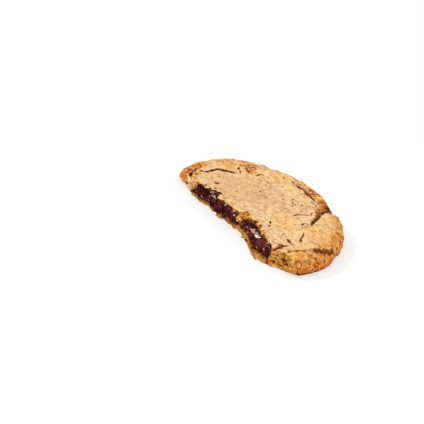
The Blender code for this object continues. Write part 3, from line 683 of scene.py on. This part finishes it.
# the dough, with the marks that its material reads
tints = {       # places of another colour: x, y, radius in mm; rollLight is painted light on the near roll, and umber is painted shade in the crevices by the cracks
    "golden": ((22.5, 34.0, 11.0), (32.0, 19.5, 16.0), (18.0, 10.0, 12.0), (38.2, -1.7, 4.0),
               (37.0, 3.5, 4.0), (41.0, 5.0, 4.0), (-36.0, 16.0, 9.0), (-28.5, 25.5, 10.0),
               (-16.0, 36.0, 9.0), (-4.0, 42.0, 8.0), (6.0, 40.0, 8.0), (13.0, 37.0, 6.0)),
    "tan": ((-19.0, 4.0, 17.0), (-30.0, 6.0, 8.0), (-8.0, 14.0, 14.0)),
    "yellow": ((-37.7, -2.6, 2.2), (-35.2, -1.5, 1.8), (40.1, -6.7, 4.4), (41.5, -8.6, 3.0),
               (11.6, 41.0, 2.8), (5.5, 42.5, 2.6), (28.0, -10.6, 2.0)),
    "pale": ((-35.5, -6.5, 5.0), (-32.5, -9.0, 3.0)),
    # rollLight: painted light on the near roll
    "rollLight": ((38.4, -4.0, 2.6), (38.0, 0.0, 2.8), (37.6, 4.0, 2.6), (36.6, -9.5, 2.2)),
    "tip": ((-46.0, -3.5, 4.4), (-42.0, -4.5, 3.4), (-46.5, 0.5, 3.0)),
    "orange": ((-40.8, 1.6, 1.4), (13.6, 37.4, 2.8), (36.4, 23.6, 1.8)),
    "brown": ((-5.1, 39.4, 1.4), (-3.0, 40.2, 1.9), (14.6, 33.4, 2.8), (15.2, 36.4, 3.2), (15.8, 34.2, 3.0),
              (16.2, 31.5, 2.6), (18.4, 29.0, 2.1), (20.2, 26.6, 1.7), (22.3, 23.4, 1.3),
              (-46.5, -1.0, 2.4), (-40.0, -5.0, 2.0), (-43.0, -3.2, 2.0), (-45.0, 3.4, 1.6)),
    # umber: painted shade in the crevices along the cracks
    "umber": ((-5.6, 39.2, 1.2), (0.1, 38.6, 2.2), (1.9, 38.4, 1.9), (35.0, -9.5, 2.2), (33.4, -6.9, 2.4),
              (32.0, -6.9, 1.8), (34.4, -6.0, 1.6), (41.4, 8.0, 2.0), (41.8, 10.6, 1.9),
              (42.1, 13.2, 1.9), (42.4, 15.8, 1.8), (41.6, 20.0, 1.7), (34.4, 33.4, 1.8),
              (36.5, 29.8, 1.2)),
}
tintEdges = {
    "core": 0.3,        # the share of a place's radius that is full
    "notchGap": (0.2, 0.8),     # mm from the notch's crack, where the brown beside it stops
    "wallGap": (1.3, 0.5), "wallShare": (0.1, 0.25), "wallInset": (2.5, 7.0),   # the umber painted shade along its wall
}
spots = {       # small brown spots of the rim: x, y, height, radius
    "places": (
        (42.9, 6.1, 7.0, 0.8), (44.1, 6.9, 5.4, 0.7), (44.0, 12.1, 4.5, 0.8), (44.2, 2.0, 5.6, 0.7),
        (44.7, 5.1, 4.2, 0.9), (45.4, 3.7, 2.9, 0.8), (44.6, -5.2, 3.4, 0.8), (38.4, 24.5, 5.6, 0.9),
        (39.4, -10.6, 8.4, 0.9),
    ),
    "edge": (1.15, 0.4), "rimInset": 6.0,
}
ring = {"place": (43.2, -4.0, 6.1), "radius": 1.4, "width": 0.5}   # a blistered ring on the near rim
marking = {     # mm: where a mark begins and where it is full
    "torn": (-0.5, -0.1), "lip": (-2.6, -0.4), "stain": (2.0, 1.0), "hollowInset": (-1.0, 3.0),
    "hollowMost": (-1.0, 4.0), "baseLevel": 0.3,
}
doughTriangles = 188000


def tintMarks(x, y, inset):
    marks = {name: nearPlaces(places, tintEdges["core"], x, y) for name, places in tints.items()}
    gap, share, side = lineDistance(cracking["lines"][cracking["notch"]][0], x, y)
    marks["brown"] *= 1 - (side > 0) * (x > 0) * smooth(*tintEdges["notchGap"], gap)
    # painted shade on the notch's wall, below its step
    wall = smooth(*tintEdges["wallGap"], gap) * (side <= 0)
    wall = wall * smooth(*tintEdges["wallShare"], share) * (share < 1)
    marks["umber"] = np.maximum(marks["umber"], wall * smooth(*tintEdges["wallInset"], inset))
    return marks


def rimDistance(points, place):     # distance from a place on the rim's side, measured along the side
    x, y, z = points.T
    px, py, pz = place
    return np.hypot((np.arctan2(y, x) - math.atan2(py, px)) * math.hypot(px, py), z - pz)


def spotMark(points, inset):
    outer, core = spots["edge"]
    found = np.zeros(len(points))
    for *place, radius in spots["places"]:
        away = rimDistance(points, place) + farAway * (inset > spots["rimInset"])
        found = np.maximum(found, smooth(outer * radius, core * radius, away))
    return found


def fleckMark(points):
    x, y, z = points.T
    found = np.zeros(len(points))
    for speck in specks["seen"]:
        found = np.maximum(found, speckShape(x, y, speck) * (z > specks["topLevel"]))
    return found


def doughMarks(points, axes, fields):
    x, y, z = points.T
    inset = insetAt(x, y)
    rough = crackleAmount(x, y, inset)
    warp = np.stack([sampled(grid, axes, points) for grid in fields.warps], 1)
    nearest, second, number = cells(points + crackle["warp"] * warp, crackle["plates"], seeds["plates"])
    # painted shade along the grooves between the crust's plates
    seamShade = np.exp(-((second - nearest) / crackle["seamWidth"]) ** 2)
    seamShade *= smooth(*crackle["openLevel"], sampled(fields.opened, axes, points))
    torn = sampled(fields.torn, axes, points)
    depth = np.clip(-sampled(fields.form, axes, points), *marking["hollowMost"])
    ringGap = rimDistance(points, ring["place"]) - ring["radius"]
    return {
        # hollow: depth below the smooth form, which the material uses to paint shade
        "hollow": depth * (z > marking["baseLevel"]) * smooth(*marking["hollowInset"], inset),
        "torn": smooth(*marking["torn"], torn),
        "lip": smooth(*marking["lip"], torn),
        "seamShade": seamShade * rough,
        # crack: painted shade on the cracks' walls
        "crack": sampled(fields.ink, axes, points),
        # edge: painted highlight along the cracks' edges
        "edge": sampled(fields.edges, axes, points),
        "rough": rough,
        "plate": number,
        "sunk": sampled(fields.crumb, axes, points),
        "inset": inset,
        "level": z,
        "fleck": fleckMark(points),
        "spot": spotMark(points, inset),
        "ring": np.exp(-(ringGap / ring["width"]) ** 2),
        "stain": smooth(*marking["stain"], spreadAt(x, z)),
    } | tintMarks(x, y, inset)


def makeDough(axes, smoothGap):
    inset = insetAt(*np.meshgrid(axes[0], axes[1], indexing="ij"))
    form = lumpyForm(axes, inset)
    print("dough: baked form")
    warps, opened = crackleNoises(axes)
    outer = crustedForm(axes, form, inset, warps, opened)
    print("dough: crust")
    cut, ink, edges = crackCut(axes, form, inset)
    torn, crumb = tornFace(axes, smoothGap)
    field = np.maximum(np.maximum(outer, cut), torn)
    closed = np.minimum((coverField(axes) - 1) * filling["coverSlope"], smoothGap + filling["skin"])
    pocket = np.maximum(slabField(axes, filling["pocketGrown"]), closed)
    field = np.maximum(field, -pocket)
    print("dough: cracks, break and pocket")
    points, quads = surfaceNet(field.astype(np.float32), axes)
    points[:, 2] = np.maximum(points[:, 2], 0.0)
    print("dough: mesh of", len(quads), "quads")
    piece, points = thinned("cookieDough", points, quads, doughTriangles)
    points[:, 2] = np.maximum(points[:, 2], 0.0)
    fields = SimpleNamespace(form=form, torn=torn, crumb=crumb, ink=ink, edges=edges,
                             warps=warps, opened=opened)
    finishPiece(piece, points, doughMarks(points, axes, fields))
    print("dough made")
    return piece


def makeFilling(axes, gap):
    x, y, z = axes
    share = coverField(axes)
    thick = filling["bulge"] * np.clip(1 - share ** 2, filling["thinMost"], 1)
    for k, (size, rise) in enumerate(filling["ropes"]):
        rope = rise * softNoise(axes, size, seeds["ropes"] + k)
        thick = thick + rope * smooth(*filling["ropeFade"], share)
    for bitX, bitZ, radius in filling["bits"]:
        away = np.hypot(x[:, None] - bitX, z[None, :] - bitZ)
        thick = thick + filling["bitRise"] * np.exp(-(away / radius) ** 2)[:, None, :]
    front = (gap - thick) * tear["slope"]
    slab = np.maximum(slabField(axes, filling["grown"]), gap + filling["slabStart"])
    field = np.minimum(slab, np.maximum(front, -gap - filling["coverBack"]))
    field = np.maximum(np.maximum(field, front), np.maximum(z - filling["ceiling"], filling["floor"] - z))
    points, quads = surfaceNet(field.astype(np.float32), axes)
    piece, points = thinned("cookieFilling", points, quads, filling["triangles"])
    outer, core = filling["bitEdge"]
    dotted = np.zeros(len(points))
    for bitX, bitZ, radius in filling["bits"]:
        away = np.hypot(points[:, 0] - bitX, points[:, 2] - bitZ)
        dotted = np.maximum(dotted, smooth(outer * radius, core * radius, away))
    dotted = dotted * smooth(*filling["bitFront"], sampled(front, axes, points))
    finishPiece(piece, points, {"bit": dotted})
    print("filling made")
    return piece


# the materials
class Wire:     # a socket of a material, so that shader maths reads as maths
    def __init__(self, tree, socket=None):
        self.tree = tree
        self.socket = socket

    def node(self, kind, settings=None, values=None, output=0):
        made = self.tree.nodes.new(kind)
        for name, setting in (settings or {}).items():
            setattr(made, name, setting)
        for name, value in (values or {}).items():
            if isinstance(value, Wire):
                self.tree.links.new(value.socket, made.inputs[name])
            else:
                made.inputs[name].default_value = value
        return Wire(self.tree, made.outputs[output])

    def math(self, operation, first, second=0.0):
        return self.node("ShaderNodeMath", {"operation": operation}, {0: first, 1: second})

    def __add__(self, other):
        return self.math("ADD", self, other)

    def __sub__(self, other):
        return self.math("SUBTRACT", self, other)

    def __rsub__(self, other):
        return self.math("SUBTRACT", other, self)

    def __mul__(self, other):
        return self.math("MULTIPLY", self, other)

    def __abs__(self):
        return self.math("ABSOLUTE", self)

    __radd__ = __add__
    __rmul__ = __mul__

    def between(self, low, high):   # 0 at low, 1 at high, smooth between them
        return self.node("ShaderNodeMapRange", {"interpolation_type": "SMOOTHSTEP"},
                         {0: self, 1: low, 2: high, 3: 0.0, 4: 1.0})

    def ragged(self, noise, amount):    # the same mark with its edge made uneven by a noise
        return self + (noise - 0.5) * amount

    def mark(self, name):
        return self.node("ShaderNodeAttribute", {"attribute_name": name}, output=2)

    def noise(self, size, detail=2.0, roughness=0.5):   # size in mm
        place = self.node("ShaderNodeTexCoord", output=3)
        values = {"Vector": place, "Scale": 1 / (size * mm), "Detail": detail, "Roughness": roughness}
        return self.node("ShaderNodeTexNoise", {"normalize": True}, values)

    def blend(self, factor, first, second):
        return self.node("ShaderNodeMix", {"data_type": "RGBA"}, {0: factor, 6: first, 7: second}, output=2)

    def feed(self, shader, name):
        self.tree.links.new(self.socket, shader.inputs[name])


def rgb(red, green, blue):      # a colour as seen on screen, 0 to 255, on the shader's own scale
    return tuple(((v / 255 + 0.055) / 1.055) ** 2.4 for v in (red, green, blue)) + (1.0,)


def newMaterial(name):
    material = bpy.data.materials.new(name)
    material.use_nodes = True
    shader = material.node_tree.nodes["Principled BSDF"]
    return material, shader, Wire(material.node_tree)


def feedBump(start, shader, looks, height):
    bump = {"Strength": looks["bumpStrength"], "Distance": looks["bumpDepth"] * mm, "Height": height}
    start.node("ShaderNodeBump", None, bump).feed(shader, "Normal")


doughLooks = {
    "plateau": rgb(248, 210, 160), "plateauDark": rgb(204, 160, 110),
    "rim": rgb(248, 176, 92), "rimDark": rgb(196, 104, 32), "rimPale": rgb(254, 198, 118),
    # groove, crackWallShade and crackFloorShade are painted shade
    "groove": rgb(168, 92, 24), "crackWallShade": rgb(96, 44, 10), "crackFloorShade": rgb(60, 22, 6),
    # crumbPaleLit and crumbBrownShade: painted light on the crumb's grains and painted shade between them,
    # mixed with random tone
    "crumbPaleLit": rgb(244, 200, 128), "crumb": rgb(200, 134, 58), "crumbBrownShade": rgb(108, 50, 10),
    "crumbStain": rgb(66, 20, 8), "lipBrown": rgb(190, 122, 44), "lipPale": rgb(254, 220, 150),
    "base": rgb(112, 50, 14), "fleck": rgb(36, 12, 4),
    "yellow": rgb(255, 208, 104), "brown": rgb(150, 76, 22), "orange": rgb(216, 118, 34),
    # edge: painted highlight along the cracks' edges
    "spot": rgb(140, 66, 20), "edge": rgb(255, 228, 178),
    # rollLight: painted light on the near roll
    "rollLight": rgb(255, 208, 132), "tawny": rgb(194, 120, 54), "amber": rgb(240, 172, 88),
    "golden": rgb(254, 206, 130), "goldenDark": rgb(212, 150, 76), "umber": rgb(116, 54, 20),
    "noises": {"broad": (9.0, 3.0), "middle": (2.4, 3.0), "fine": (0.9, 3.0, 0.6), "curls": (1.5, 1.0)},
    "strokePatches": (4.0,), "grit": (0.4, 2.0),    # size in mm, detail and roughness, as above
    "mottle": (0.45, 0.55),     # the shares of the middle and the fine noise
    "spans": {      # where a layer of colour begins and where it is full
        "plateau": (0.38, 0.6), "pale": (0.45, 0.6), "rim": (0.36, 0.62), "lowRim": (7.5, 1.5),
        "browned": (12.0, 2.5), "brownedRim": (0.0, 1.0), "amber": (0.0, 0.5), "yellow": (0.25, 0.9),
        "stroke": (0.03, 0.0), "strokePatch": (0.45, 0.6), "strokeBrown": (0.0, 0.8),
        "lipMottle": (0.42, 0.56), "lip": (0.0, 3.0), "base": (2.6, 0.9), "groove": (0.08, 0.6),
        "crackWallShade": (0.35, 0.9), "crackFloorShade": (0.5, 1.2), "crackMottle": (0.25, 0.55), "seamShade": (0.12, 0.8),
        "crumbPaleLit": (0.36, 0.62), "crumbBrownShade": (0.36, 0.16), "paleCrust": (0.4, 0.55), "stain": (0.6, 0.85),
        "brownMottle": (0.43, 0.57), "brown": (0.1, 0.8), "umberMottle": (0.44, 0.56), "umber": (0.1, 0.7),
        "umberLevel": (2.5, 6.0), "umberEdge": (0.0, 0.2), "spot": (0.2, 0.8), "orange": (0.70, 0.45),
        "tipLevel": (9.0, 6.8),
    },
    "ragged": {"browned": 8.0, "yellow": 1.6, "base": 3.0, "groove": 0.3, "crackFloorShade": 0.5,
               "brown": -2.4, "umber": -2.4, "spot": -2.0},     # how uneven a layer's edge is
    "strength": {"golden": 0.65, "tan": 0.38, "lowRim": 0.14, "plate": 0.08, "rough": 0.4,
                 "amber": 0.5, "yellow": 0.9, "rollLight": 0.6, "lip": 0.7, "seamShade": 0.8,
                 "edge": 0.42, "crack": 0.95, "ring": 0.8},
    "brownedLevel": 8.0, "brownedSlope": 0.6,   # the rim's colour reaches further in above this height
    "amberRough": 0.35, "lipLevel": 6.0,
    "strokeShares": (0.65, 0.3),    # of the strokes on the browned crust, and everywhere
    "crumbShares": (-0.35, 0.5, 0.3),   # of the sunk mark, which paints light on the grains and shade in their gaps and holes, and of the two noises
    "stainMore": 0.3,
    "heightShares": (0.8, 0.2, -0.4),   # of the fine noise, the grit and the strokes in the bump
    "bumpStrength": 0.4, "bumpDepth": 0.4, "roughness": 0.85, "specular": 0.03,
}


def doughMasks(start):      # the noises and marks that several layers of colour share
    looks, spans = doughLooks, doughLooks["spans"]
    masks = SimpleNamespace(**{name: start.noise(*size) for name, size in looks["noises"].items()})
    for name in ("hollow", "torn", "inset", "level", "rough", "umber"):
        setattr(masks, name, start.mark(name))
    middleShare, fineShare = looks["mottle"]
    masks.mottle = masks.middle * middleShare + masks.fine * fineShare
    reach = masks.inset.ragged(masks.broad, looks["ragged"]["browned"])
    reach = reach + (masks.level - looks["brownedLevel"]) * looks["brownedSlope"]
    masks.browned = reach.between(*spans["browned"]) + masks.rough * looks["strength"]["rough"]
    patches = start.noise(*looks["strokePatches"]).between(*spans["strokePatch"])
    masks.strokes = abs(masks.curls - 0.5).between(*spans["stroke"]) * patches
    return masks


def plateauColor(start, masks):
    looks, strength = doughLooks, doughLooks["strength"]
    golden = start.mark("golden") * strength["golden"]
    dark = start.blend(golden, looks["plateauDark"], looks["goldenDark"])
    light = start.blend(golden, looks["plateau"], looks["golden"])
    plateau = start.blend(masks.mottle.between(*looks["spans"]["plateau"]), dark, light)
    return start.blend(start.mark("tan") * strength["tan"], plateau, looks["plateauDark"])


def rimColor(start, masks):
    looks, spans, strength = doughLooks, doughLooks["spans"], doughLooks["strength"]
    pale = start.blend(masks.broad.between(*spans["pale"]), looks["rim"], looks["rimPale"])
    low = masks.level.between(*spans["lowRim"]) * strength["lowRim"]
    light = masks.mottle - low + start.mark("plate") * strength["plate"]
    return start.blend(light.between(*spans["rim"]), looks["rimDark"], pale)


def crustColor(start, masks, plateau):      # plateau and rim, the torn lip, and painted shade in the creases, grooves and hollows and on the cracks' walls
    looks, spans = doughLooks, doughLooks["spans"]
    ragged, strength = looks["ragged"], looks["strength"]
    mottle, level, fine, hollow = masks.mottle, masks.level, masks.fine, masks.hollow
    color = start.blend(masks.browned.between(*spans["brownedRim"]), plateau, rimColor(start, masks))
    amber = (masks.rough - looks["amberRough"]).between(*spans["amber"]) * strength["amber"]
    color = start.blend(amber, color, looks["amber"])
    yellow = start.mark("yellow").ragged(mottle, ragged["yellow"]).between(*spans["yellow"])
    color = start.blend(yellow * strength["yellow"], color, looks["yellow"])
    # painted light on the near roll
    color = start.blend(start.mark("rollLight") * strength["rollLight"], color, looks["rollLight"])
    lip = start.blend(mottle.between(*spans["lipMottle"]), looks["lipBrown"], looks["lipPale"])
    lipTop = start.mark("lip") * (level - looks["lipLevel"]).between(*spans["lip"])
    color = start.blend(lipTop * strength["lip"], color, lip)
    # strokes: painted shade in fine creases, which the bump also sinks
    more, least = looks["strokeShares"]
    strokes = masks.strokes * (masks.browned.between(*spans["strokeBrown"]) * more + least)
    color = start.blend(strokes, color, looks["groove"])
    color = start.blend(level.ragged(fine, ragged["base"]).between(*spans["base"]), color, looks["base"])
    # painted shade in the crust's hollows and on the cracks' walls, darker with depth
    groove = hollow.ragged(fine, ragged["groove"]).between(*spans["groove"])
    color = start.blend(groove, color, looks["groove"])
    color = start.blend(hollow.between(*spans["crackWallShade"]), color, looks["crackWallShade"])
    # painted shade along the grooves between the crust's plates
    seamShade = start.mark("seamShade").between(*spans["seamShade"]) * strength["seamShade"]
    return start.blend(seamShade, color, looks["groove"])


def markedColor(start, masks, color):       # brown places, painted highlights along the cracks' edges, painted shade in the cracks and crevices, and spots over the crust
    looks, spans = doughLooks, doughLooks["spans"]
    ragged, strength = looks["ragged"], looks["strength"]
    mottle = masks.mottle
    brown = start.blend(mottle.between(*spans["brownMottle"]), looks["brown"], looks["tawny"])
    browned = start.mark("brown").ragged(mottle, ragged["brown"]).between(*spans["brown"])
    color = start.blend(browned, color, brown)
    # umber painted shade in the crevices by the cracks and on the notch's wall
    umber = start.blend(mottle.between(*spans["umberMottle"]), looks["umber"], looks["tawny"])
    deep = masks.umber * masks.level.between(*spans["umberLevel"])
    umbered = deep.ragged(mottle, ragged["umber"]).between(*spans["umber"])
    color = start.blend(umbered * deep.between(*spans["umberEdge"]), color, umber)
    # painted highlight along the cracks' edges, left off the umber painted shade
    color = start.blend(start.mark("edge") * (1 - masks.umber) * strength["edge"], color, looks["edge"])
    # painted shade on the cracks' walls, darker still where they are deep
    crack = start.mark("crack") * (1 - masks.torn) * mottle.between(*spans["crackMottle"])
    color = start.blend(crack * strength["crack"], color, looks["crackWallShade"])
    floor = masks.hollow.ragged(masks.fine, ragged["crackFloorShade"]).between(*spans["crackFloorShade"])
    color = start.blend(floor, color, looks["crackFloorShade"])
    spotted = start.mark("spot").ragged(mottle, ragged["spot"]).between(*spans["spot"])
    color = start.blend(spotted, color, looks["spot"])
    return start.blend(start.mark("ring") * strength["ring"], color, looks["brown"])


def crumbColor(start, masks, plateau):      # the torn crumb, with painted light on its grains and painted shade in its gaps, with crust at its left end, and its stain
    looks, spans = doughLooks, doughLooks["spans"]
    sunkShare, middleShare, fineShare = looks["crumbShares"]
    grain = start.mark("sunk") * sunkShare + masks.middle * middleShare + masks.fine * fineShare
    crumb = start.blend(grain.between(*spans["crumbPaleLit"]), looks["crumb"], looks["crumbPaleLit"])
    crumb = start.blend(grain.between(*spans["crumbBrownShade"]), crumb, looks["crumbBrownShade"])
    paleCrust = start.blend(masks.mottle.between(*spans["paleCrust"]), looks["lipBrown"], plateau)
    crumb = start.blend(start.mark("pale"), crumb, paleCrust)
    stain = start.mark("stain") * (masks.middle + looks["stainMore"]).between(*spans["stain"])
    return start.blend(stain, crumb, looks["crumbStain"])


def doughMaterial():
    material, shader, start = newMaterial("bakedDough")
    looks, spans, masks = doughLooks, doughLooks["spans"], doughMasks(start)
    plateau = plateauColor(start, masks)
    color = markedColor(start, masks, crustColor(start, masks, plateau))
    color = start.blend(masks.torn, color, crumbColor(start, masks, plateau))
    orange = start.mark("orange") + start.mark("tip") * masks.level.between(*spans["tipLevel"])
    color = start.blend(orange * masks.mottle.between(*spans["orange"]), color, looks["orange"])
    color = start.blend(start.mark("fleck"), color, looks["fleck"])
    color.feed(shader, "Base Color")
    shader.inputs["Roughness"].default_value = looks["roughness"]
    shader.inputs["Specular IOR Level"].default_value = looks["specular"]
    fineShare, gritShare, strokeShare = looks["heightShares"]
    height = masks.fine * fineShare + start.noise(*looks["grit"]) * gritShare + masks.strokes * strokeShare
    feedBump(start, shader, looks, height)
    print("dough's material made")
    return material


fillingLooks = {
    "dark": rgb(47, 14, 20), "warm": rgb(106, 43, 36), "milky": rgb(132, 84, 70), "bit": rgb(198, 138, 84),
    "wideNoise": (3.4, 2.0), "narrowNoise": (1.3, 2.0), "milkyNoise": (2.0, 2.0), "bitNoise": (0.8,),
    "streakShares": (0.6, 0.4), "streakSpan": (0.45, 0.65), "milkySpan": (0.56, 0.72), "milkyShare": 0.5,
    "bitRagged": 2.2, "bitSpan": (0.45, 0.85),
    "roughness": 0.18, "bitRoughness": 0.8, "specular": 0.30,
    "bumpNoise": (1.2, 1.0), "bumpStrength": 0.12, "bumpDepth": 0.4,
}


def fillingMaterial():
    material, shader, start = newMaterial("chocolateFilling")
    looks = fillingLooks
    wideShare, narrowShare = looks["streakShares"]
    streaks = start.noise(*looks["wideNoise"]) * wideShare + start.noise(*looks["narrowNoise"]) * narrowShare
    color = start.blend(streaks.between(*looks["streakSpan"]), looks["dark"], looks["warm"])
    milky = start.noise(*looks["milkyNoise"]).between(*looks["milkySpan"]) * looks["milkyShare"]
    color = start.blend(milky, color, looks["milky"])
    bit = start.mark("bit").ragged(start.noise(*looks["bitNoise"]), looks["bitRagged"])
    bit = bit.between(*looks["bitSpan"])
    start.blend(bit, color, looks["bit"]).feed(shader, "Base Color")
    roughness = bit * (looks["bitRoughness"] - looks["roughness"]) + looks["roughness"]
    roughness.feed(shader, "Roughness")
    shader.inputs["Specular IOR Level"].default_value = looks["specular"]
    feedBump(start, shader, looks, start.noise(*looks["bumpNoise"]))
    print("filling's material made")
    return material


axes = gridAxes()
breakFront = breakGap(axes)

dough = makeDough(axes, breakFront)
dough.data.materials.append(doughMaterial())
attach(dough, "root")
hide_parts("dough")

chocolate = makeFilling(axes, breakFront)
chocolate.data.materials.append(fillingMaterial())
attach(chocolate, "root")
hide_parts("filling")

# the floor and the light, in metres and watts
studio = {
    "floorSize": 6.0, "floorDrop": 0.00005, "floorColor": (0.5, 0.5, 0.5, 1.0), "floorGlow": 0.5,
    "floorRoughness": 0.9, "white": (1.0, 1.0, 1.0, 1.0), "worldStrength": 0.75,
    "keyPower": 3.4, "keySize": 0.10, "keyPlace": (-0.62, -0.45, 0.70),
    "frontPower": 2.75, "frontSize": 0.25, "frontPlace": (0.65, -0.60, 0.75),
    "glintPower": 11.0, "glintSize": 0.4, "glintPlace": (-0.55, -0.55, 0.70),
}


def makeFloor():
    half = studio["floorSize"] / 2
    corners = [(-half, -half, 0), (half, -half, 0), (half, half, 0), (-half, half, 0)]
    mesh = bpy.data.meshes.new("floor")
    mesh.from_pydata(corners, [], [(0, 1, 2, 3)])
    floor = bpy.data.objects.new("floor", mesh)
    floor.location.z = -studio["floorDrop"]
    floor.visible_glossy = False
    bpy.context.scene.collection.objects.link(floor)
    material, shader, start = newMaterial("paleFloor")
    shader.inputs["Base Color"].default_value = studio["floorColor"]
    shader.inputs["Roughness"].default_value = studio["floorRoughness"]
    shader.inputs["Specular IOR Level"].default_value = 0.0
    shader.inputs["Emission Color"].default_value = studio["white"]
    shader.inputs["Emission Strength"].default_value = studio["floorGlow"]
    mesh.materials.append(material)


def makeLight(name):
    data = bpy.data.lights.new(name, "AREA")
    data.energy, data.size = studio[name + "Power"], studio[name + "Size"]
    light = bpy.data.objects.new(name, data)
    light.location = studio[name + "Place"]
    light.rotation_mode = "QUATERNION"
    light.rotation_quaternion = Vector(studio[name + "Place"]).to_track_quat("Z", "Y")
    bpy.context.scene.collection.objects.link(light)
    return light


def makeWorld():
    world = bpy.data.worlds.new("studio")
    world.use_nodes = True
    background = world.node_tree.nodes["Background"]
    background.inputs["Color"].default_value = studio["white"]
    background.inputs["Strength"].default_value = studio["worldStrength"]
    world.cycles_visibility.glossy = False
    bpy.context.scene.world = world


makeFloor()
makeLight("key")
makeLight("front")
glint = makeLight("glint")
glint.visible_diffuse = False   # only a reflection in what is wet
makeWorld()
bpy.context.scene.view_settings.view_transform = "Standard"
print("studio made")
